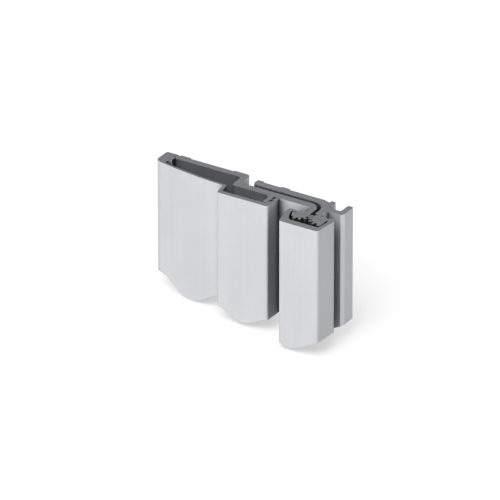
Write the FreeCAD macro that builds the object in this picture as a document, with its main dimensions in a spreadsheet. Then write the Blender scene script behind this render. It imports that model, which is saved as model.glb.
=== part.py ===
"""Full-surface continuous geared hinge, short length, as a parametric FreeCAD document.

Two extruded leaves carry gear segments that mesh inside an extruded cap. The cap's two inturned
lips end in round beads, and each segment turns on one bead. A clip-on cover hides the door
leaf's screws, and an acetal block between the segments carries the door's weight.

Millimetres. X runs from the door side to the frame side, Y points back towards the door and
frame faces, Z is up. The origin is the centre of the frame leaf's screw pattern, on the leaf's
relieved back face. The hinge is drawn closed.
"""

import FreeCAD, Part
import math
import os
import re
import Sketcher
from FreeCAD import Placement, Vector

DIMENSIONS = {
    # length of the sample: square cut at the top, wavy break at the bottom
    "top_height": 25.0,
    "stock_length": 60.0,
    # gear pair; both segments have the same teeth
    "mesh_x": 12.0,
    "mesh_y": -14.8,
    "pivot_offset": 5.3,
    "tooth_count": 14,
    "pitch_radius": 5.25,
    "tip_radius": 6.0,
    "root_radius": 4.31,
    "tooth_thinning": 0.04,
    "door_teeth": 4,
    "frame_teeth": 5,
    "first_tooth_angle": 9.8,
    "segment_end": 2.12,
    "bead_radius": 1.8,
    "socket_radius": 1.86,
    # frame leaf
    "frame_face": 0.7,
    "frame_plate_front": -3.4,
    "frame_edge": -23.1,
    "frame_edge_pad": -20.2,
    "middle_pad_left": -11.5,
    "middle_pad_right": -8.1,
    "pad_slope": 0.6,
    "relief_end": 8.6,
    "rib_foot": -0.7,
    "frame_neck_left": 12.0,
    "frame_neck_right": 14.7,
    "frame_neck_end": -12.4,
    "rib_left": 11.7,
    "rib_right": 14.1,
    "arm_front": -8.0,
    "arm_back": -5.0,
    "flange_left": 19.5,
    "flange_right": 21.8,
    "gap_sweep": 6.2,
    # door leaf
    "door_face": 2.7,
    "door_relief": 2.1,
    "base_front": -0.9,
    "door_edge_pad": -56.4,
    "door_wall_pad": -35.3,
    "door_wall": -27.6,
    "web_left": -29.6,
    "thin_back": -5.1,
    "thin_front": -8.55,
    "neck_outer": 10.6,
    "neck_inner": 8.35,
    "neck_outer_sweep": 4.9,
    "neck_inner_sweep": 1.8,
    "hook_left": -11.4,
    "hook_right": -9.6,
    "hook_end": -14.7,
    "hook_barb": 0.9,
    "tongue_tip": -62.9,
    "tongue_back": 1.0,
    "tongue_front": 0.4,
    "inside_sweep": 2.8,
    # cover of the door leaf
    "cover_left": -67.65,
    "cover_right": -7.2,
    "cover_back": 2.4,
    "cover_front": -17.4,
    "box_front_wall": 2.2,
    "box_side_wall": 1.2,
    "cover_curve": 200.0,
    "cover_skin": 1.0,
    "cover_nose": -6.8,
    "step_left": -32.3,
    "step_right": -31.1,
    "step_front": -11.0,
    "step_back": -9.95,
    "catch_left": -13.7,
    # gear cap
    "cap_left": 0.9,
    "cap_right": 22.2,
    "cap_front": -25.36,
    "cap_front_wall": 3.26,
    "lip_back": 1.1,
    "lip_front": 0.35,
    # thrust bearing and the slots milled for it
    "bearing_half": 6.4,
    "slot_half": 6.5,
    "slot_radius": 6.2,
    "bearing_back": -12.4,
    "bearing_side": 0.9,
    "bearing_gap": 0.1,
    # screws, two in each leaf
    "screw_spacing": 30.0,
    "screw_hole": 5.5,
    "screw_head": 9.6,
    "screw_head_angle": 82.0,
    "frame_screw_x": 0.0,
    "door_screw_x": -45.6,
    # corner roundings
    "fine_round": 0.3,
    "small_round": 0.8,
    "corner_round": 1.2,
    "plate_round": 1.6,
    "wall_round": 2.2,
}

# Crests and troughs of the broken lower end: distance along the hinge, height.
BREAK_LINE = [
    (-84.0, -31.8),
    (-65.5, -24.4),
    (-48.5, -31.8),
    (-33.1, -25.2),
    (-19.1, -30.2),
    (-6.1, -25.8),
    (7.9, -30.4),
    (27.0, -23.2),
]
BREAK_FLOOR = -40.0

PRESSURE_ANGLE = math.radians(20.0)

DOC = FreeCAD.newDocument("geared_hinge")
SHEET = DOC.addObject("Spreadsheet::Sheet", "dims")


def fill_sheet():
    """Write every driving dimension into the spreadsheet, one row each."""
    for row, (alias, number) in enumerate(DIMENSIONS.items(), start=1):
        SHEET.set(f"A{row}", alias)
        SHEET.set(f"B{row}", str(number))
        SHEET.setAlias(f"B{row}", alias)
    DOC.recompute()


def size(formula):
    """Value of a formula of spreadsheet names, in millimetres or degrees."""
    return float(SHEET.evalExpression(str(formula)))


def with_sheet(word):
    """A word of a formula, with the sheet's name before it if it is an alias."""
    text = word.group(0)
    return f"dims.{text}" if text in DIMENSIONS else text


def linked(formula):
    """The same formula as objects outside the sheet write it."""
    return re.sub(r"[a-z_]+", with_sheet, str(formula))


def bind(feature, property_name, formula):
    """Tie a property to the spreadsheet."""
    feature.setExpression(property_name, linked(formula))


def origin_plane(body, role):
    """One of the body's own origin planes."""
    return next(item for item in body.Origin.OriginFeatures if item.Role == role)


def new_body(name):
    """An empty body whose label is the node's name."""
    body = DOC.addObject("PartDesign::Body", name)
    body.Label = name
    body.Placement = Placement()
    return body


def new_sketch(body, name, role="XY_Plane", offset="top_height"):
    """Sketch parallel to an origin plane, at an offset along that plane's normal."""
    sketch = body.newObject("Sketcher::SketchObject", name)
    sketch.AttachmentSupport = (origin_plane(body, role), [""])
    sketch.MapMode = "FlatFace"
    bind(sketch, "AttachmentOffset.Base.z", offset)
    return sketch


def arc_between(start, end, radius):
    """Arc from start to end. A positive radius puts the centre on the left of the way travelled."""
    chord = end - start
    half = chord.Length / 2
    left = Vector(-chord.y, chord.x, 0).normalize()
    reach = math.sqrt(radius**2 - half**2)
    centre = (start + end) / 2 + left * math.copysign(reach, radius)
    turn = [math.atan2(p.y - centre.y, p.x - centre.x) for p in (start, end)]
    if radius < 0:
        turn.reverse()
    circle = Part.Circle(centre, Vector(0, 0, 1), abs(radius))
    return Part.ArcOfCircle(circle, turn[0], turn[1])


def draw_outline(sketch, corners):
    """Closed outline. Each corner is (x, y) or (x, y, radius of the arc that leads to the next)."""
    points = [Vector(size(c[0]), size(c[1]), 0) for c in corners]
    ends = []
    for number, corner in enumerate(corners):
        start, end = points[number], points[(number + 1) % len(points)]
        if len(corner) == 3:
            radius = size(corner[2])
            sketch.addGeometry(arc_between(start, end, radius), False)
            ends.append((1, 2) if radius > 0 else (2, 1))
        else:
            sketch.addGeometry(Part.LineSegment(start, end), False)
            ends.append((1, 2))
    for number, corner in enumerate(corners):
        following = (number + 1) % len(corners)
        sketch.addConstraint(
            Sketcher.Constraint("Coincident", number, ends[number][1], following, ends[following][0])
        )
        for kind, along in (("DistanceX", 0), ("DistanceY", 1)):
            index = sketch.addConstraint(
                Sketcher.Constraint(kind, -1, 1, number, ends[number][0], points[number][along])
            )
            bind(sketch, f"Constraints[{index}]", corner[along])
        if len(corner) == 3:
            index = sketch.addConstraint(Sketcher.Constraint("Radius", number, abs(size(corner[2]))))
            bind(sketch, f"Constraints[{index}]", f"abs({corner[2]})")


def draw_circle(sketch, centre, diameter):
    """Circle with its centre and diameter tied to the spreadsheet."""
    middle = Vector(size(centre[0]), size(centre[1]), 0)
    number = sketch.addGeometry(Part.Circle(middle, Vector(0, 0, 1), size(diameter) / 2), False)
    index = sketch.addConstraint(Sketcher.Constraint("Diameter", number, size(diameter)))
    bind(sketch, f"Constraints[{index}]", diameter)
    for kind, along in (("DistanceX", 0), ("DistanceY", 1)):
        index = sketch.addConstraint(Sketcher.Constraint(kind, -1, 1, number, 3, middle[along]))
        bind(sketch, f"Constraints[{index}]", centre[along])


def pad(body, sketch, name, length="stock_length"):
    """Extrude a sketch downwards."""
    feature = body.newObject("PartDesign::Pad", name)
    feature.Profile = sketch
    feature.Reversed = True
    bind(feature, "Length", length)
    body.Tip = feature
    DOC.recompute()
    return feature


def cut(body, sketch, name, length=None, both_ways=False):
    """Pocket down from a sketch, through everything unless a length is given."""
    before = body.Shape.Volume
    feature = body.newObject("PartDesign::Pocket", name)
    feature.Profile = sketch
    if length:
        bind(feature, "Length", length)
    else:
        feature.Type = "ThroughAll"
    if both_ways:
        feature.SideType = "Symmetric"
    body.Tip = feature
    DOC.recompute()
    if body.Shape.Volume > before - 1e-3:
        raise RuntimeError(f"{name} cut nothing")
    return feature


def round_corners(body, name, radius, corners):
    """Fillet the upright edges that stand on the given corners of the profile."""
    base = body.Tip
    wanted = [(size(x), size(y)) for x, y in corners]
    chosen = []
    for number, edge in enumerate(base.Shape.Edges, start=1):
        top, foot = edge.Vertexes[0].Point, edge.Vertexes[-1].Point
        if math.hypot(top.x - foot.x, top.y - foot.y) > 1e-4 or abs(top.z - foot.z) < 1.0:
            continue
        if any(math.hypot(top.x - x, top.y - y) < 1e-3 for x, y in wanted):
            chosen.append(f"Edge{number}")
    if len(chosen) != len(wanted):
        raise RuntimeError(f"{name}: {len(chosen)} of {len(wanted)} corners found")
    feature = body.newObject("PartDesign::Fillet", name)
    feature.Base = (base, chosen)
    bind(feature, "Radius", radius)
    body.Tip = feature
    DOC.recompute()
    return feature


def involute(angle):
    """Polar angle of the involute of a circle at a pressure angle."""
    return math.tan(angle) - angle


def half_tooth(radius):
    """Half the width of a tooth at a radius, from the involute of the base circle."""
    base = size("pitch_radius") * math.cos(PRESSURE_ANGLE)
    at_pitch = math.pi / (2 * size("tooth_count")) - size("tooth_thinning / 2 / pitch_radius")
    here = math.acos(min(1.0, base / radius))
    return radius * (at_pitch + involute(PRESSURE_ANGLE) - involute(here))


def tooth_corners():
    """Outline of one tooth that points along +X from the centre of its gear."""
    foot, tip = size("root_radius - 0.3"), size("tip_radius")
    base = size("pitch_radius") * math.cos(PRESSURE_ANGLE)
    middle = (base + tip) / 2
    flank = [Vector(r, half_tooth(r), 0) for r in (base, middle, tip)]
    bend = Part.Arc(*flank).toShape().Curve.Radius
    root_half, tip_half = half_tooth(base), half_tooth(tip)
    return [
        (foot, -root_half),
        (base, -root_half, bend),
        (tip, -tip_half),
        (tip, tip_half, bend),
        (base, root_half),
        (foot, root_half),
    ]


def add_teeth(body, pivot_x, first_angle, count):
    """One tooth at the first angle, repeated counterclockwise about the pivot."""
    sketch = new_sketch(body, f"{body.Name}_tooth_profile")
    bind(sketch, "AttachmentOffset.Base.x", pivot_x)
    bind(sketch, "AttachmentOffset.Base.y", "mesh_y")
    bind(sketch, "AttachmentOffset.Rotation.Angle", first_angle)
    draw_outline(sketch, tooth_corners())
    tooth = pad(body, sketch, f"{body.Name}_tooth")
    pattern = body.newObject("PartDesign::PolarPattern", f"{body.Name}_teeth")
    pattern.Originals = [tooth]
    pattern.Axis = (sketch, ["N_Axis"])
    bind(pattern, "Angle", f"({count} - 1) * 360 / tooth_count")
    bind(pattern, "Occurrences", count)
    body.Tip = pattern
    DOC.recompute()


def on_circle(pivot_x, radius, angle, bend=None):
    """Corner on a circle about a pivot, at an angle in degrees."""
    x = f"{pivot_x} + {radius} * cos(({angle}) * 1 deg)"
    y = f"mesh_y + {radius} * sin(({angle}) * 1 deg)"
    return (x, y, bend) if bend else (x, y)


def cut_socket(body, pivot_x):
    """Round seat in which the cap's bead lies."""
    sketch = new_sketch(body, f"{body.Name}_socket_profile")
    draw_circle(sketch, (pivot_x, "mesh_y"), "socket_radius * 2")
    cut(body, sketch, f"{body.Name}_socket")


def cut_bearing_slot(body, pivot_x):
    """Stretch of the segment milled away for the thrust bearing."""
    sketch = new_sketch(body, f"{body.Name}_slot_profile", offset="slot_half")
    draw_circle(sketch, (pivot_x, "mesh_y"), "slot_radius * 2")
    cut(body, sketch, f"{body.Name}_slot", length="slot_half * 2")


def drill_screw_holes(body, screw_x, front, countersunk):
    """Two holes through a plate from its front face, one above the other."""
    sketch = new_sketch(body, f"{body.Name}_screw_layout", "XZ_Plane", f"-({front})")
    for side in ("screw_spacing / 2", "-screw_spacing / 2"):
        draw_circle(sketch, (screw_x, side), "screw_hole")
    DOC.recompute()
    before = body.Shape.Volume
    hole = body.newObject("PartDesign::Hole", f"{body.Name}_screw_holes")
    hole.Profile = sketch
    DOC.recompute()
    hole.Threaded = False
    hole.DepthType = "ThroughAll"
    bind(hole, "Diameter", "screw_hole")
    if countersunk:
        hole.HoleCutType = "Countersink"
        hole.HoleCutCustomValues = True
        bind(hole, "HoleCutDiameter", "screw_head")
        bind(hole, "HoleCutCountersinkAngle", "screw_head_angle")
    body.Tip = hole
    DOC.recompute()
    if body.Shape.Volume > before - 1e-3:
        raise RuntimeError(f"{body.Name}: the screw holes cut nothing")


def break_lower_end(body):
    """Cut the lower end along the wavy break line."""
    sketch = new_sketch(body, f"{body.Name}_break_line", "XZ_Plane", "0")
    points = []
    for (x, z), (next_x, next_z) in zip(BREAK_LINE, BREAK_LINE[1:]):
        points += [Vector(x, z, 0), Vector((x + next_x) / 2, (z + next_z) / 2, 0)]
    points.append(Vector(*BREAK_LINE[-1], 0))
    wave = Part.BSplineCurve()
    wave.interpolate(points)
    start, end = points[0], points[-1]
    corners = [end, Vector(end.x, BREAK_FLOOR, 0), Vector(start.x, BREAK_FLOOR, 0), start]
    sketch.addGeometry(wave, False)
    for near, far in zip(corners, corners[1:]):
        sketch.addGeometry(Part.LineSegment(near, far), False)
    for number in range(4):
        sketch.addConstraint(Sketcher.Constraint("Coincident", number, 2, (number + 1) % 4, 1))
    cut(body, sketch, f"{body.Name}_break", both_ways=True)


DOOR_PIVOT = "mesh_x - pivot_offset"
FRAME_PIVOT = "mesh_x + pivot_offset"


def make_frame_leaf():
    """Plate on the frame, its rib and side flange, and the neck that carries the segment."""
    body = new_body("frame_leaf")
    corners = [
        ("frame_edge", "frame_plate_front"),
        ("frame_edge", "frame_face"),
        ("frame_edge_pad", "frame_face"),
        ("frame_edge_pad + pad_slope", 0),
        ("middle_pad_left - pad_slope", 0),
        ("middle_pad_left", "frame_face"),
        ("middle_pad_right", "frame_face"),
        ("middle_pad_right + pad_slope", 0),
        ("relief_end", 0),
        ("rib_left - 0.8", "rib_foot"),
        ("rib_left", "rib_foot"),
        ("rib_left", "frame_face"),
        ("rib_right", "frame_face"),
        ("rib_right", "arm_back"),
        ("flange_left", "arm_back"),
        ("flange_left", "frame_face"),
        ("flange_right", "frame_face"),
        ("flange_right + 0.45", "arm_front + 1.7"),
        ("flange_right - 0.45", "arm_front"),
        ("frame_neck_right + 0.8", "arm_front"),
        ("frame_neck_right + 0.6", "arm_front - 1.4"),
        ("frame_neck_right + 0.1", "arm_front - 2.9"),
        ("frame_neck_right", "mesh_y + 2.6"),
        ("frame_neck_right + 0.7", "mesh_y + 1.7"),
        ("frame_neck_right + 1.05", "mesh_y + 1.05"),
        ("frame_neck_right + 1.4", "mesh_y + 0.85"),
        ("frame_neck_right + 0.7", "mesh_y + 0.6"),
        ("frame_neck_right - 0.9", "mesh_y + 2.2"),
        ("frame_neck_left", "frame_neck_end"),
        ("frame_neck_left", "frame_plate_front"),
    ]
    sketch = new_sketch(body, "frame_leaf_profile")
    draw_outline(sketch, corners)
    pad(body, sketch, "frame_leaf_stock")
    sweep = [("frame_neck_left", "frame_plate_front")]
    round_corners(body, "frame_sweep_round", "gap_sweep", sweep)
    round_corners(body, "frame_rib_round", "corner_round", [("rib_right", "frame_face")])
    round_corners(body, "frame_plate_round", "plate_round", [("frame_edge", "frame_plate_front")])
    inside = [("rib_right", "arm_back"), ("flange_left", "arm_back")]
    round_corners(body, "frame_inside_round", "small_round", inside)
    edges = [
        ("frame_edge", "frame_face"),
        ("rib_left", "frame_face"),
        ("flange_left", "frame_face"),
        ("flange_right", "frame_face"),
        ("frame_neck_left", "frame_neck_end"),
    ]
    round_corners(body, "frame_edge_round", "fine_round", edges)

    segment = new_sketch(body, "frame_segment_profile")
    neck_side = 140
    last = "180 + first_tooth_angle + (frame_teeth - 1.5) * 360 / tooth_count"
    end_face = "mesh_x + pivot_offset + segment_end"
    draw_outline(
        segment,
        [
            on_circle(FRAME_PIVOT, "root_radius", neck_side, "root_radius"),
            on_circle(FRAME_PIVOT, "root_radius", last),
            on_circle(FRAME_PIVOT, "tip_radius", last, "tip_radius"),
            (end_face, "mesh_y - sqrt(tip_radius ^ 2 - segment_end ^ 2)"),
            (end_face, "mesh_y - 0.6"),
            ("mesh_x + pivot_offset + 1.1", "mesh_y - 0.6"),
            ("mesh_x + pivot_offset - 1.3", "mesh_y + 0.6"),
        ],
    )
    pad(body, segment, "frame_segment")
    add_teeth(body, FRAME_PIVOT, "180 + first_tooth_angle - 180 / tooth_count", "frame_teeth")
    cut_socket(body, FRAME_PIVOT)
    cut_bearing_slot(body, FRAME_PIVOT)
    drill_screw_holes(body, "frame_screw_x", "frame_plate_front", countersunk=True)
    break_lower_end(body)
    return body


def make_door_leaf():
    """Base plate on the door, offset web, thin plate, cover hook, and the curled neck."""
    body = new_body("door_leaf")
    corners = [
        ("tongue_tip", "tongue_front"),
        ("tongue_tip", "tongue_back"),
        ("tongue_tip + 1.5", "tongue_back + 0.85"),
        ("tongue_tip + 2.0", "door_face"),
        ("door_edge_pad", "door_face"),
        ("door_edge_pad + pad_slope", "door_relief"),
        ("door_wall_pad - pad_slope", "door_relief"),
        ("door_wall_pad", "door_face"),
        ("door_wall", "door_face"),
        ("door_wall", "thin_back"),
        ("neck_outer", "thin_back"),
        ("neck_outer", "mesh_y + 1.2"),
        ("neck_inner + 0.25", "mesh_y + 0.6"),
        ("neck_inner - 0.35", "mesh_y + 0.9"),
        ("neck_inner - 0.05", "mesh_y + 1.1"),
        ("neck_inner", "mesh_y + 1.9"),
        ("neck_inner", "thin_front"),
        ("hook_right", "thin_front"),
        ("hook_right", "hook_end + 3.8"),
        ("hook_right + hook_barb", "hook_end + 3.8"),
        ("hook_right", "hook_end + 2.5"),
        ("hook_right", "hook_end"),
        ("hook_left", "hook_end"),
        ("hook_left", "thin_front"),
        ("web_left", "thin_front"),
        ("web_left - 0.8", "base_front"),
        ("tongue_tip + 1.5", "base_front"),
    ]
    sketch = new_sketch(body, "door_leaf_profile")
    draw_outline(sketch, corners)
    pad(body, sketch, "door_leaf_stock")
    round_corners(body, "neck_outer_round", "neck_outer_sweep", [("neck_outer", "thin_back")])
    round_corners(body, "neck_inner_round", "neck_inner_sweep", [("neck_inner", "thin_front")])
    inside = [("door_wall", "thin_back"), ("hook_left", "thin_front")]
    round_corners(body, "door_inside_round", "inside_sweep", inside)
    round_corners(body, "door_wall_round", "wall_round", [("door_wall", "door_face")])
    web = [("web_left", "thin_front"), ("web_left - 0.8", "base_front")]
    round_corners(body, "web_round", "corner_round", web)
    edges = [
        ("hook_right", "hook_end"),
        ("hook_left", "hook_end"),
        ("neck_inner", "mesh_y + 1.9"),
    ]
    round_corners(body, "hook_round", "fine_round", edges)

    neck_side, tooth_side, tail_side = 40, -40, -113
    segment = new_sketch(body, "door_segment_profile")
    draw_outline(
        segment,
        [
            on_circle(DOOR_PIVOT, "root_radius", neck_side, "-root_radius"),
            on_circle(DOOR_PIVOT, "root_radius", tooth_side, "-root_radius"),
            on_circle(DOOR_PIVOT, "root_radius", tail_side),
            ("mesh_x - pivot_offset - 3.2", "mesh_y - 0.8"),
            ("mesh_x - pivot_offset - 1.4", "mesh_y - 0.7"),
            ("mesh_x - pivot_offset + 1.5", "mesh_y + 0.6"),
        ],
    )
    pad(body, segment, "door_segment")
    lowest = "-(first_tooth_angle + (door_teeth - 1) * 360 / tooth_count)"
    add_teeth(body, DOOR_PIVOT, lowest, "door_teeth")
    cut_socket(body, DOOR_PIVOT)
    cut_bearing_slot(body, DOOR_PIVOT)
    drill_screw_holes(body, "door_screw_x", "base_front", countersunk=False)
    break_lower_end(body)
    return body


def make_door_leaf_cover():
    """Thin curved cover: hooked over the base's tongue, snapped over the hook on the thin plate."""
    body = new_body("door_leaf_cover")
    inner_front = "cover_front + box_front_wall"
    leg_inner = "cover_right - box_side_wall"
    catch = "hook_end + 3.9"
    bead_back = ("tongue_tip + 1.0", "base_front + 0.25")
    bead_front = ("tongue_tip + 1.0", "base_front - 1.9")
    inner_corner = ("web_left - 0.35", inner_front)
    nose = ("cover_left + 2.5", "cover_nose")
    corners = [
        ("cover_left", "cover_back"),
        ("tongue_tip + 0.8", "cover_back"),
        ("tongue_tip + 1.3", "cover_back - 0.45"),
        ("tongue_tip - 0.1", "tongue_back + 0.13"),
        ("tongue_tip - 0.1", "tongue_front - 0.08"),
        bead_back,
        bead_front,
        ("tongue_tip - 0.2", "base_front - 3.1"),
        ("tongue_tip - 0.2", "base_front - 5.2", "cover_curve - cover_skin"),
        ("step_right", "step_back"),
        inner_corner,
        ("catch_left", inner_front),
        ("catch_left", "hook_end - 0.3"),
        ("hook_right + 0.1", "hook_end - 0.3"),
        ("hook_right + 0.1", "hook_end + 1.7"),
        (leg_inner, "hook_end + 1.7"),
        (leg_inner, catch),
        ("hook_right + hook_barb - 0.5", catch),
        (leg_inner, "hook_end + 5.1"),
        (leg_inner, "thin_front - 0.2"),
        ("cover_right", "thin_front - 0.2"),
        ("cover_right", "cover_front"),
        ("step_right", "cover_front"),
        ("step_left", "step_front", "-cover_curve"),
        nose,
        ("cover_left + 0.9", "cover_nose + 0.8"),
        ("cover_left + 0.1", "cover_nose + 2.2"),
    ]
    sketch = new_sketch(body, "cover_profile")
    draw_outline(sketch, corners)
    pad(body, sketch, "cover_stock")
    edges = [("cover_right", "cover_front"), ("step_right", "cover_front")]
    round_corners(body, "cover_round", "corner_round", edges)
    lesser = [
        ("cover_left", "cover_back"),
        ("step_left", "step_front"),
        ("step_right", "step_back"),
        inner_corner,
    ]
    round_corners(body, "cover_step_round", "small_round", lesser)
    round_corners(body, "cover_bead_round", "fine_round", [bead_back, bead_front, nose])
    break_lower_end(body)
    return body


def cap_hollow(gap):
    """Corners of the cap's hollow, from the frame lip to the door lip, drawn in by a gap."""
    under_lip = f"mesh_y - lip_front - {gap}"
    front = f"cap_front + cap_front_wall + {gap}"
    return [
        (f"cap_right - 2.15 - {gap}", under_lip),
        (f"cap_right - 2.0 - {gap}", "mesh_y - 1.8"),
        (f"cap_right - 2.6 - {gap}", front),
        ("cap_left + 5.5", front),
        (f"cap_left + 4.1 + {gap}", "mesh_y - 6.0"),
        (f"cap_left + 2.8 + {gap}", "mesh_y - 3.2"),
        (f"cap_left + 2.0 + {gap}", under_lip),
    ]


def make_gear_cap():
    """C-shaped cap with two inturned lips that end in round beads."""
    body = new_body("gear_cap")
    back, front = "mesh_y + lip_back", "mesh_y - lip_front"
    hollow = cap_hollow("0")
    corners = [
        (DOOR_PIVOT, back),
        ("cap_left + 2.5", back),
        ("cap_left + 1.0", "mesh_y + 1.35"),
        ("cap_left", "mesh_y + 1.2"),
        ("cap_left", "mesh_y - 2.4"),
        ("cap_left + 2.4", "cap_front"),
        ("cap_right - 0.8", "cap_front"),
        ("cap_right", "mesh_y"),
        ("cap_right - 0.4", "mesh_y + 1.4"),
        ("cap_right - 1.5", "mesh_y + 1.9"),
        ("cap_right - 2.5", "mesh_y + 2.2"),
        ("cap_right - 3.8", back),
        (FRAME_PIVOT, back),
        (FRAME_PIVOT, front),
        *hollow,
        (DOOR_PIVOT, front),
    ]
    sketch = new_sketch(body, "cap_profile")
    draw_outline(sketch, corners)
    pad(body, sketch, "cap_stock")
    lips = [
        ("cap_left", "mesh_y + 1.2"),
        ("cap_right - 0.4", "mesh_y + 1.4"),
        ("cap_right - 2.5", "mesh_y + 2.2"),
    ]
    round_corners(body, "cap_lip_round", "small_round", lips)
    outside = [("cap_left + 2.4", "cap_front"), ("cap_right - 0.8", "cap_front")]
    round_corners(body, "cap_outside_round", "corner_round", outside)
    round_corners(body, "cap_inside_round", "small_round", hollow[2:4])
    for name, pivot_x in (("door", DOOR_PIVOT), ("frame", FRAME_PIVOT)):
        bead = new_sketch(body, f"{name}_bead_profile")
        draw_circle(bead, (pivot_x, "mesh_y"), "bead_radius * 2")
        pad(body, bead, f"{name}_bead")
    break_lower_end(body)
    return body


def make_thrust_bearing():
    """Acetal block that fills the cap over the milled slots and holds both beads."""
    body = new_body("thrust_bearing")
    under_lip = "mesh_y - lip_front - bearing_gap"
    block_left, block_right = f"{DOOR_PIVOT} - bearing_side", f"{FRAME_PIVOT} + bearing_side"
    hollow = cap_hollow("bearing_gap")
    corners = [
        (block_left, "bearing_back"),
        (block_right, "bearing_back"),
        (block_right, under_lip),
        *hollow,
        (block_left, under_lip),
    ]
    sketch = new_sketch(body, "bearing_profile", offset="bearing_half")
    draw_outline(sketch, corners)
    pad(body, sketch, "bearing_block", length="bearing_half * 2")
    round_corners(body, "bearing_round", "small_round", hollow[2:4])
    for name, pivot_x in (("door", DOOR_PIVOT), ("frame", FRAME_PIVOT)):
        seat = new_sketch(body, f"{name}_seat_profile")
        draw_circle(seat, (pivot_x, "mesh_y"), "socket_radius * 2")
        cut(body, seat, f"{name}_seat")
    return body


def check_document():
    """Stop if any object of the document is in error or has no valid shape."""
    for item in DOC.Objects:
        if "Invalid" in item.State or "Error" in item.State:
            raise RuntimeError(f"{item.Name} is in error")
        shape = getattr(item, "Shape", None)
        if item.isDerivedFrom("PartDesign::Feature") and (shape.isNull() or not shape.isValid()):
            raise RuntimeError(f"{item.Name} has no valid shape")


def export(bodies):
    """Write one STEP file per sub-part."""
    os.makedirs("parts", exist_ok=True)
    for body in bodies:
        if len(body.Shape.Solids) != 1 or not body.Shape.isValid():
            raise RuntimeError(f"{body.Label} isn't one valid solid")
        body.Shape.exportStep(f"parts/{body.Label}.step")
        box = body.Shape.BoundBox
        lengths = [round(length, 2) for length in (box.XLength, box.YLength, box.ZLength)]
        print(body.Label, round(body.Shape.Volume, 1), lengths)


fill_sheet()
BODIES = [
    make_frame_leaf(),
    make_door_leaf(),
    make_door_leaf_cover(),
    make_gear_cap(),
    make_thrust_bearing(),
]
DOC.recompute()
check_document()
export(BODIES)
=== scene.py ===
"""Looks of a short full-surface geared hinge: anodised extrusions and an acetal bearing.

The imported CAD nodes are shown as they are, and each gets a procedural material of its own. Metres,
in the frame of the CAD model: X from door side to frame side, Y back towards the door, Z up.
"""
import math

import bpy
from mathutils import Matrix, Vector


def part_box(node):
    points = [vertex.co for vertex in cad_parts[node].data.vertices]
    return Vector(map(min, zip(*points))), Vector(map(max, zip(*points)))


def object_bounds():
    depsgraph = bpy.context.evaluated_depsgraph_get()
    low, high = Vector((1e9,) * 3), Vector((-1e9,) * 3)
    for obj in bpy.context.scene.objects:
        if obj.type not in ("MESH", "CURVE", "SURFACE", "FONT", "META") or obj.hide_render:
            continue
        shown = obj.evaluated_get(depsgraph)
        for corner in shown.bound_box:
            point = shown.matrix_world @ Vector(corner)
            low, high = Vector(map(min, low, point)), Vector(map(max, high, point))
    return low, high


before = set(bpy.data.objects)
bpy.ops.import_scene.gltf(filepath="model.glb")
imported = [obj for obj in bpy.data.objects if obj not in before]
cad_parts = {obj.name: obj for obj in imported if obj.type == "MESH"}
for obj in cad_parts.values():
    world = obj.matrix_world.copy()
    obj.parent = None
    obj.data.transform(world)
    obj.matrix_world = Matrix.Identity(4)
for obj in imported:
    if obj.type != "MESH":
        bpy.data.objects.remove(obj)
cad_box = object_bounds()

MILLIMETRES_PER_METRE = 1000.0

# camera
CAMERA_AZIMUTH = math.radians(32.7)
CAMERA_ELEVATION = math.radians(26.9)
CAMERA_DISTANCE = 4.0
VIEW_WIDTH = 0.2
AIM_RIGHT_OF_CENTRE = 0.00289
AIM_ABOVE_CENTRE = 0.00201
SENSOR_WIDTH = 36.0

# stage
FLOOR_RADIUS = 3.0
FLOOR_SIDES = 96
FLOOR_COLOUR = (0.3, 0.3, 0.3)
FLOOR_GLOW = 0.56
WORLD_STRENGTH = 0.35
LAMP_SIZE = 1.6
LAMP_DISTANCE = 2.0
KEY_AZIMUTH = math.radians(6.0)
KEY_ELEVATION = math.radians(52.0)
KEY_STRENGTH = 67.0
RIM_AZIMUTH = math.radians(185.0)
RIM_ELEVATION = math.radians(30.0)
RIM_STRENGTH = 18.0

# hollows darkened with painted shade: one behind the cover as far as its right wall, one from the
# frame leaf's neck to its flange; the last two numbers say how strong the painted shade is, from 0 to
# 1
COVER_WALL = 0.0012
COVER_BACK_EDGE = 0.0004
FLANGE_BULGE = 0.00095
FLANGE_TO_NECK = 0.007
FRONTWARD = (0.0, -1.0, 0.0)
BACK_AND_RIGHT = (0.7, 0.7, 0.0)
COVER_PAINTED_SHADE = 0.88
FLANGE_PAINTED_SHADE = 0.45

# the cap's hollow, painted dark as shade and made smoother by greasing, measured in from the cap's
# outside
CAP_FRONT_WALL = 0.0031
CAP_SIDE_WALL = 0.002
CAP_LIP = 0.0016

# finishes, painted shade and painted highlight: linear colours
ALUMINIUM = (0.7, 0.708, 0.722)
COVER_ALUMINIUM = (0.71, 0.718, 0.732)
# a lighter copy of the aluminium for the frame leaf: painted light that makes up for the cap's shadow
# on its flange
FRAME_PAINTED_LIGHT_ALUMINIUM = (0.78, 0.788, 0.802)
SAWN_ALUMINIUM = (0.138, 0.141, 0.145)
TORN_ALUMINIUM = (0.3, 0.305, 0.31)
# edges made lighter: partly rubbed wear, partly a painted highlight
RUBBED_HIGHLIGHT_ALUMINIUM = (0.86, 0.865, 0.87)
SHADED_ALUMINIUM = (0.06, 0.061, 0.063)
BURR = (0.1, 0.1, 0.103)
# painted shade in narrow gaps
GAP_SHADE = (0.02, 0.02, 0.021)
# painted shade in the cap's hollow round the gears
CAP_HOLLOW_SHADE = (0.035, 0.034, 0.031)
ACETAL = (0.83, 0.81, 0.75)
RUBBED_ACETAL = (0.9, 0.89, 0.86)

# finishes: how strongly each mark, painted shade or painted highlight shows, and how rough and how
# metallic the surface is
WEAR_SHARE = 0.5
BURR_SHARE = 0.45
DEEP_SHADE_SHARE = 0.7
GAP_SHADE_SHARE = 0.9
CAP_HOLLOW_SHADE_SHARE = 0.85
RUBBED_ROUGHNESS = 0.3
GREASE_ROUGHNESS = 0.28
WAXY_ROUGHNESS = 0.28
SKIN_METALLIC = 0.45
END_METALLIC = 0.6

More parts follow.
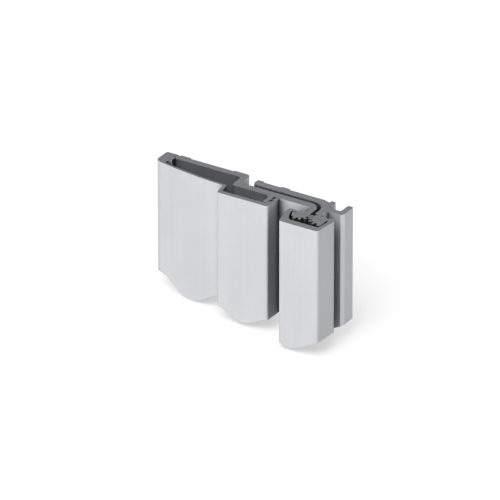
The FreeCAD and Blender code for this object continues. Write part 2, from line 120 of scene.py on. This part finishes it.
# finishes: millimetres
BLADE_CENTRE = (30.0, 190.0, 0.0)
EDGE_WIDTH = 0.35
SKIN_ROUNDING = 0.15
SKIN_BUMP = 0.012
END_BUMP = 0.06
ACETAL_EDGE_WIDTH = 0.5
ACETAL_ROUNDING = 0.2
ACETAL_BUMP = 0.03
EXPOSED_REACH = 1.5
GAP_REACH = 4.0
DEEP_REACH = 26.0


class Shader:
    """One material's node tree, with a short call for each kind of node it uses."""

    def __init__(self, name):
        self.material = bpy.data.materials.new(name)
        self.material.use_nodes = True
        self.tree = self.material.node_tree
        self.surface = self.tree.nodes["Principled BSDF"]
        places = self.node("ShaderNodeTexCoord").outputs["Object"]
        self.millimetres = self.vector_math("SCALE", places, Scale=MILLIMETRES_PER_METRE)
        self.normal = self.node("ShaderNodeNewGeometry").outputs["True Normal"]
        turn = {"vector_type": "NORMAL", "convert_from": "WORLD", "convert_to": "OBJECT"}
        self.own_normal = self.node("ShaderNodeVectorTransform", turn, Vector=self.normal).outputs[0]

    def node(self, kind, settings=None, **inputs):
        """A node with its settings and inputs. An input is a plain value or another node's output."""
        made = self.tree.nodes.new(kind)
        for key, value in (settings or {}).items():
            setattr(made, key, value)
        for key, value in inputs.items():
            self.feed(made.inputs[key.replace("_", " ")], value)
        return made

    def feed(self, socket, value):
        """Link an output to a socket, or set the socket's plain value."""
        if isinstance(value, bpy.types.NodeSocket):
            self.tree.links.new(value, socket)
        elif socket.type == "RGBA":
            socket.default_value = (*value, 1.0)
        else:
            socket.default_value = value

    def calculate(self, operation, first, second):
        """Arithmetic on two numbers."""
        made = self.node("ShaderNodeMath", {"operation": operation})
        self.feed(made.inputs[0], first)
        self.feed(made.inputs[1], second)
        return made.outputs[0]

    def add(self, first, second):
        """Sum of two numbers."""
        return self.calculate("ADD", first, second)

    def multiply(self, first, second):
        """Product of two numbers."""
        return self.calculate("MULTIPLY", first, second)

    def vector_math(self, operation, first, second=None, **inputs):
        """Arithmetic on vectors. The dot product gives a number."""
        made = self.node("ShaderNodeVectorMath", {"operation": operation}, **inputs)
        self.feed(made.inputs[0], first)
        if second is not None:
            self.feed(made.inputs[1], second)
        return made.outputs["Value" if operation == "DOT_PRODUCT" else "Vector"]

    def remap(self, value, low, high, to_low=0.0, to_high=1.0):
        """The value's stretch from low to high, eased onto another stretch."""
        made = self.node("ShaderNodeMapRange", {"interpolation_type": "SMOOTHSTEP"})
        for key, number in (("Value", value), ("From Min", low), ("From Max", high)):
            self.feed(made.inputs[key], number)
        for key, number in (("To Min", to_low), ("To Max", to_high)):
            self.feed(made.inputs[key], number)
        return made.outputs[0]

    def blend(self, share, first, second):
        """Mix of two colours."""
        made = self.node("ShaderNodeMix", {"data_type": "RGBA"})
        colours = [socket for socket in made.inputs if socket.type == "RGBA"]
        self.feed(made.inputs[0], share)
        self.feed(colours[0], first)
        self.feed(colours[1], second)
        return next(socket for socket in made.outputs if socket.type == "RGBA")

    def blend_numbers(self, share, first, second):
        """Mix of two numbers."""
        made = self.node("ShaderNodeMix", {"data_type": "FLOAT"})
        for socket, value in zip(made.inputs, (share, None, first, second)):
            if value is not None:
                self.feed(socket, value)
        return made.outputs[0]

    def shade(self, colour, brightness):
        """A colour made brighter or darker by a number near 1."""
        return self.vector_math("SCALE", colour, Scale=brightness)

    def noise(self, size, detail=2.0, stretch=(1.0, 1.0, 1.0), offset=0.0):
        """Noise from 0 to 1, its features about this size in millimetres times the stretch."""
        mapping = self.node("ShaderNodeMapping", Vector=self.millimetres)
        mapping.inputs["Scale"].default_value = [1.0 / (size * factor) for factor in stretch]
        mapping.inputs["Location"].default_value = (offset, offset, offset)
        made = self.node("ShaderNodeTexNoise", Vector=mapping.outputs[0], Scale=1.0, Detail=detail)
        return made.outputs[0]

    def bump(self, height, depth, normal=None):
        """A normal bumped by a height from 0 to 1 that stands for this depth in millimetres."""
        made = self.node("ShaderNodeBump", Height=height, Strength=1.0)
        made.inputs["Distance"].default_value = depth / MILLIMETRES_PER_METRE
        if normal is not None:
            self.feed(made.inputs["Normal"], normal)
        return made.outputs[0]

    def rounded_normal(self, radius):
        """The normal with every edge eased by this radius in millimetres."""
        made = self.node("ShaderNodeBevel", {"samples": 6}, Radius=radius / MILLIMETRES_PER_METRE)
        return made.outputs[0]

    def edges(self, radius):
        """1 along the edges, 0 on open faces, over this distance in millimetres."""
        facing = self.vector_math("DOT_PRODUCT", self.rounded_normal(radius), self.normal)
        return self.remap(facing, 0.995, 0.86)

    def openness(self, distance):
        """1 where nothing is near, 0 deep in a corner, looking this many millimetres out."""
        made = self.node("ShaderNodeAmbientOcclusion", {"samples": 6})
        made.inputs["Distance"].default_value = distance / MILLIMETRES_PER_METRE
        return made.outputs["AO"]

    def finish(self, colour, roughness, normal, metallic):
        """Feed the finished values into the surface shader."""
        self.feed(self.surface.inputs["Base Color"], colour)
        self.feed(self.surface.inputs["Roughness"], roughness)
        self.feed(self.surface.inputs["Metallic"], metallic)
        self.feed(self.surface.inputs["Normal"], normal)
        return self.material


def die_lines(shader, offset):
    """Fine lines left along the extrusion by the die, as a height from 0 to 1."""
    fine = shader.noise(0.22, 2.0, (1.0, 1.0, 400.0), offset)
    broad = shader.noise(1.3, 2.0, (1.0, 1.0, 120.0), offset + 3.7)
    return shader.add(shader.multiply(fine, 0.6), shader.multiply(broad, 0.4))


def anodised_skin(shader, base, offset):
    """Colour, roughness and height of the clear-anodised outside of an extrusion."""
    lines = die_lines(shader, offset)
    clouds = shader.noise(14.0, 3.0, (1.0, 1.0, 2.0), offset)
    grain = shader.noise(0.12, 2.0)
    light = shader.add(shader.remap(clouds, 0.3, 0.7, -0.022, 0.022), 1.0)
    light = shader.add(light, shader.remap(lines, 0.3, 0.7, -0.02, 0.02))
    light = shader.add(light, shader.remap(grain, 0.25, 0.75, -0.012, 0.012))
    handled = shader.noise(5.0, 4.0, (1.0, 1.0, 1.4), offset + 9.0)
    roughness = shader.remap(handled, 0.35, 0.7, 0.4, 0.5)
    roughness = shader.add(roughness, shader.remap(lines, 0.3, 0.7, -0.03, 0.03))
    height = shader.add(lines, shader.multiply(grain, 0.35))
    return shader.shade(base, light), roughness, height


def sawn_end(shader, offset):
    """Colour, roughness and height of the end cut square by a saw: shallow arcs of the blade."""
    mapping = shader.node("ShaderNodeMapping", Vector=shader.millimetres)
    mapping.inputs["Location"].default_value = BLADE_CENTRE
    arcs = shader.node(
        "ShaderNodeTexWave",
        {"wave_type": "RINGS", "rings_direction": "Z", "wave_profile": "SIN"},
        Vector=mapping.outputs[0],
        Scale=0.42,
        Distortion=2.2,
        Detail=3.0,
        Detail_Scale=0.6,
    ).outputs["Fac"]
    scratches = shader.noise(0.35, 3.0, (6.0, 1.0, 1.0), offset)
    height = shader.multiply(shader.add(arcs, scratches), 0.5)
    colour = shader.shade(SAWN_ALUMINIUM, shader.remap(height, 0.2, 0.8, 0.88, 1.12))
    return colour, shader.remap(height, 0.2, 0.8, 0.5, 0.62), height


def torn_end(shader, offset):
    """Colour, roughness and height of the broken lower end: coarse bright grains."""
    grains = shader.noise(0.5, 5.0, (1.0, 1.0, 1.0), offset)
    lumps = shader.noise(1.8, 2.0, (1.0, 1.0, 1.0), offset + 5.0)
    height = shader.add(shader.multiply(grains, 0.6), shader.multiply(lumps, 0.4))
    colour = shader.shade(TORN_ALUMINIUM, shader.remap(height, 0.3, 0.7, 0.8, 1.25))
    return colour, shader.remap(grains, 0.3, 0.7, 0.45, 0.7), height


def between(shader, number, low, high):
    """1 where a number lies between two limits, else 0."""
    above = shader.calculate("GREATER_THAN", number, low * MILLIMETRES_PER_METRE)
    below = shader.calculate("LESS_THAN", number, high * MILLIMETRES_PER_METRE)
    return shader.multiply(above, below)


def hollow_wall_shade(shader, left, right, back, inward, shade_strength):
    """How strongly painted shade darkens a surface: it lies from left to right, in front of back, and
    faces inward.
    """
    places = shader.node("ShaderNodeSeparateXYZ", Vector=shader.millimetres)
    across = between(shader, places.outputs["X"], left, right)
    deep = shader.calculate("LESS_THAN", places.outputs["Y"], back * MILLIMETRES_PER_METRE)
    facing = shader.vector_math("DOT_PRODUCT", shader.own_normal, inward)
    # painted shade on the walls of the hollow that face inward
    painted_shade = shader.remap(facing, 0.05, 0.25, 0.0, shade_strength)
    return shader.multiply(shader.multiply(across, deep), painted_shade)


def shaded_greased_zone(shader):
    """1 in the cap's hollow round the gear segments, where painted shade darkens the surface and the
    greasing makes it smoother.
    """
    places = shader.node("ShaderNodeSeparateXYZ", Vector=shader.millimetres)
    low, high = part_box("gear_cap")
    across = between(shader, places.outputs["X"], low.x + CAP_SIDE_WALL, high.x - CAP_SIDE_WALL)
    deep = between(shader, places.outputs["Y"], low.y + CAP_FRONT_WALL, high.y - CAP_LIP)
    return shader.multiply(across, deep)


def wear_and_highlight_edges(shader, colour, roughness, up, side, offset):
    """Rubbed edges on the skin, lighter where worn and by a painted highlight, and dark burrs along
    the sawn end.
    """
    edge = shader.edges(EDGE_WIDTH)
    exposed = shader.remap(shader.openness(EXPOSED_REACH), 0.45, 0.8)
    patches = shader.noise(2.5, 3.0, (1.0, 1.0, 1.5), offset + 2.0)
    patchy = shader.remap(patches, 0.35, 0.65, 0.35, 1.0)
    wear_and_highlight = shader.multiply(shader.multiply(edge, side), shader.multiply(exposed, patchy))
    # the edges are made lighter: rubbed wear and a painted highlight
    colour = shader.blend(shader.multiply(wear_and_highlight, WEAR_SHARE), colour, RUBBED_HIGHLIGHT_ALUMINIUM)
    burr = shader.multiply(edge, up)
    colour = shader.blend(shader.multiply(burr, BURR_SHARE), colour, BURR)
    return colour, shader.blend_numbers(wear_and_highlight, roughness, RUBBED_ROUGHNESS)


def paint_shade_and_grease(shader, colour, roughness, side, hollow):
    """Painted shade in deep places, in the narrow gaps and in the cap's hollow round the gears, whose
    greasing also makes the surface smoother.
    """
    # painted shade in deep places, and on the walls of the given hollow
    painted_shade = shader.multiply(shader.remap(shader.openness(DEEP_REACH), 0.72, 0.3), DEEP_SHADE_SHARE)
    if hollow:
        painted_shade = shader.calculate("MAXIMUM", painted_shade, hollow_wall_shade(shader, *hollow))
    colour = shader.blend(painted_shade, colour, SHADED_ALUMINIUM)
    # painted shade in narrow gaps between parts
    gap_shade_mask = shader.multiply(shader.remap(shader.openness(GAP_REACH), 0.95, 0.6), side)
    colour = shader.blend(shader.multiply(gap_shade_mask, GAP_SHADE_SHARE), colour, GAP_SHADE)
    # painted shade in the cap's hollow, whose greasing also lowers the roughness
    grease_and_shade = shader.multiply(shaded_greased_zone(shader), side)
    colour = shader.blend(shader.multiply(grease_and_shade, CAP_HOLLOW_SHADE_SHARE), colour, CAP_HOLLOW_SHADE)
    return colour, shader.blend_numbers(grease_and_shade, roughness, GREASE_ROUGHNESS)


def extruded_aluminium(name, base, offset, hollow=None):
    """Anodised skin on the sides, sawn metal where it faces up, torn metal where it faces down."""
    shader = Shader(name)
    height = shader.node("ShaderNodeSeparateXYZ", Vector=shader.own_normal).outputs["Z"]
    up, down = shader.remap(height, 0.6, 0.8), shader.remap(height, -0.1, -0.3)
    end = shader.calculate("MAXIMUM", up, down)
    side = shader.calculate("SUBTRACT", 1.0, end)
    skin = anodised_skin(shader, base, offset)
    sawn = sawn_end(shader, offset)
    torn = torn_end(shader, offset)
    colour = shader.blend(down, shader.blend(up, skin[0], sawn[0]), torn[0])
    roughness = shader.blend_numbers(down, shader.blend_numbers(up, skin[1], sawn[1]), torn[1])
    colour, roughness = wear_and_highlight_edges(shader, colour, roughness, up, side, offset)
    colour, roughness = paint_shade_and_grease(shader, colour, roughness, side, hollow)

    normal = shader.bump(skin[2], SKIN_BUMP, shader.rounded_normal(SKIN_ROUNDING))
    relief = shader.multiply(shader.blend_numbers(up, torn[2], sawn[2]), end)
    normal = shader.bump(relief, END_BUMP, normal)
    metallic = shader.blend_numbers(end, SKIN_METALLIC, END_METALLIC)
    return shader.finish(colour, roughness, normal, metallic)


def moulded_acetal(name):
    """Off-white acetal with a waxy sheen, faint flow marks and rubbed edges."""
    shader = Shader(name)
    flow = shader.noise(4.0, 3.0, (1.0, 1.0, 3.0))
    grain = shader.noise(0.2, 3.0)
    light = shader.remap(flow, 0.3, 0.7, 0.94, 1.04)
    light = shader.add(light, shader.remap(grain, 0.3, 0.7, -0.02, 0.02))
    rubbed = shader.edges(ACETAL_EDGE_WIDTH)
    share = shader.multiply(rubbed, WEAR_SHARE)
    colour = shader.blend(share, shader.shade(ACETAL, light), RUBBED_ACETAL)
    roughness = shader.remap(flow, 0.3, 0.7, 0.34, 0.46)
    roughness = shader.blend_numbers(rubbed, roughness, WAXY_ROUGHNESS)
    height = shader.add(flow, shader.multiply(grain, 0.5))
    normal = shader.bump(height, ACETAL_BUMP, shader.rounded_normal(ACETAL_ROUNDING))
    shader.surface.inputs["Subsurface Weight"].default_value = 0.15
    shader.surface.inputs["Subsurface Radius"].default_value = (0.002, 0.0018, 0.0015)
    return shader.finish(colour, roughness, normal, 0.0)


def dress_nodes():
    """Give every CAD node its finish. The number after each colour shifts that piece's noise."""
    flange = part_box("frame_leaf")[1].x
    low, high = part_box("door_leaf_cover")
    behind_cover = (low.x, high.x - COVER_WALL / 2, high.y - COVER_BACK_EDGE)
    # the hollows whose inward-facing walls get painted shade
    frame_hollow = (flange - FLANGE_TO_NECK, flange - FLANGE_BULGE, high.y, FRONTWARD, FLANGE_PAINTED_SHADE)
    door_hollow = (*behind_cover, FRONTWARD, COVER_PAINTED_SHADE)
    cover_hollow = (*behind_cover, BACK_AND_RIGHT, COVER_PAINTED_SHADE)
    finishes = {
        # the frame leaf's lighter aluminium is painted light
        "frame_leaf": extruded_aluminium("frame_leaf_finish", FRAME_PAINTED_LIGHT_ALUMINIUM, 11.0, frame_hollow),
        "door_leaf": extruded_aluminium("door_leaf_finish", ALUMINIUM, 23.0, door_hollow),
        "door_leaf_cover": extruded_aluminium("cover_finish", COVER_ALUMINIUM, 37.0, cover_hollow),
        "gear_cap": extruded_aluminium("cap_finish", COVER_ALUMINIUM, 53.0),
        "thrust_bearing": moulded_acetal("bearing_finish"),
    }
    for name, finish in finishes.items():
        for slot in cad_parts[name].material_slots:
            slot.material = finish


def make_floor():
    """Pale table top that casts no shadow. Its glow is for the camera only."""
    centre = (cad_box[0] + cad_box[1]) / 2
    rim = []
    for number in range(FLOOR_SIDES):
        turn = 2 * math.pi * number / FLOOR_SIDES
        across, along = FLOOR_RADIUS * math.cos(turn), FLOOR_RADIUS * math.sin(turn)
        rim.append((centre.x + across, centre.y + along, cad_box[0].z))
    mesh = bpy.data.meshes.new("floor")
    mesh.from_pydata(rim, [], [range(FLOOR_SIDES)])
    floor = bpy.data.objects.new("floor", mesh)
    bpy.context.scene.collection.objects.link(floor)
    shader = Shader("floor_paper")
    light = shader.remap(shader.noise(60.0, 2.0), 0.3, 0.7, 0.99, 1.01)
    normal = shader.bump(shader.noise(0.8, 2.0), 0.02)
    seen = shader.node("ShaderNodeLightPath").outputs["Is Camera Ray"]
    shader.feed(shader.surface.inputs["Emission Color"], (1.0, 1.0, 1.0))
    shader.feed(shader.surface.inputs["Emission Strength"], shader.multiply(seen, FLOOR_GLOW))
    mesh.materials.append(shader.finish(shader.shade(FLOOR_COLOUR, light), 0.9, normal, 0.0))
    floor.visible_shadow = False


def make_world():
    """Even pale light from all round; the camera sees plain white."""
    world = bpy.data.worlds.new("studio")
    bpy.context.scene.world = world
    world.use_nodes = True
    tree = world.node_tree
    path = tree.nodes.new("ShaderNodeLightPath")
    strength = tree.nodes.new("ShaderNodeMapRange")
    strength.inputs["To Min"].default_value = WORLD_STRENGTH
    strength.inputs["To Max"].default_value = 1.0
    tree.links.new(path.outputs["Is Camera Ray"], strength.inputs["Value"])
    tree.links.new(strength.outputs[0], tree.nodes["Background"].inputs["Strength"])
    tree.nodes["Background"].inputs["Color"].default_value = (1.0, 1.0, 1.0, 1.0)


def make_softbox(name, azimuth, elevation, strength):
    """Square area light that looks at the middle of the object."""
    middle = (cad_box[0] + cad_box[1]) / 2
    light = bpy.data.lights.new(name, "AREA")
    light.energy = strength
    light.size = LAMP_SIZE
    away = direction_from(azimuth, elevation)
    holder = bpy.data.objects.new(name, light)
    holder.location = middle + away * LAMP_DISTANCE
    holder.rotation_euler = away.to_track_quat("Z", "Y").to_euler()
    bpy.context.scene.collection.objects.link(holder)


def direction_from(azimuth, elevation):
    """Direction from the object to a viewer. Azimuth 0 stands on the -Y side and turns towards +X."""
    flat = math.cos(elevation)
    return Vector((math.sin(azimuth) * flat, -math.cos(azimuth) * flat, math.sin(elevation)))


def make_camera():
    """Far camera with a long lens, so that parallel edges stay parallel."""
    back = direction_from(CAMERA_AZIMUTH, CAMERA_ELEVATION)
    right = Vector((math.cos(CAMERA_AZIMUTH), math.sin(CAMERA_AZIMUTH), 0.0))
    above = back.cross(right)
    aim = (cad_box[0] + cad_box[1]) / 2 + right * AIM_RIGHT_OF_CENTRE + above * AIM_ABOVE_CENTRE
    lens = bpy.data.cameras.new("camera")
    lens.sensor_width = SENSOR_WIDTH
    lens.lens = SENSOR_WIDTH * CAMERA_DISTANCE / VIEW_WIDTH
    lens.clip_end = CAMERA_DISTANCE * 3
    camera = bpy.data.objects.new("camera", lens)
    camera.location = aim + back * CAMERA_DISTANCE
    camera.rotation_euler = back.to_track_quat("Z", "Y").to_euler()
    bpy.context.scene.collection.objects.link(camera)
    bpy.context.scene.camera = camera


dress_nodes()
make_floor()
make_world()
make_softbox("key", KEY_AZIMUTH, KEY_ELEVATION, KEY_STRENGTH)
make_softbox("rim", RIM_AZIMUTH, RIM_ELEVATION, RIM_STRENGTH)
make_camera()
bpy.context.scene.view_settings.view_transform = "Standard"
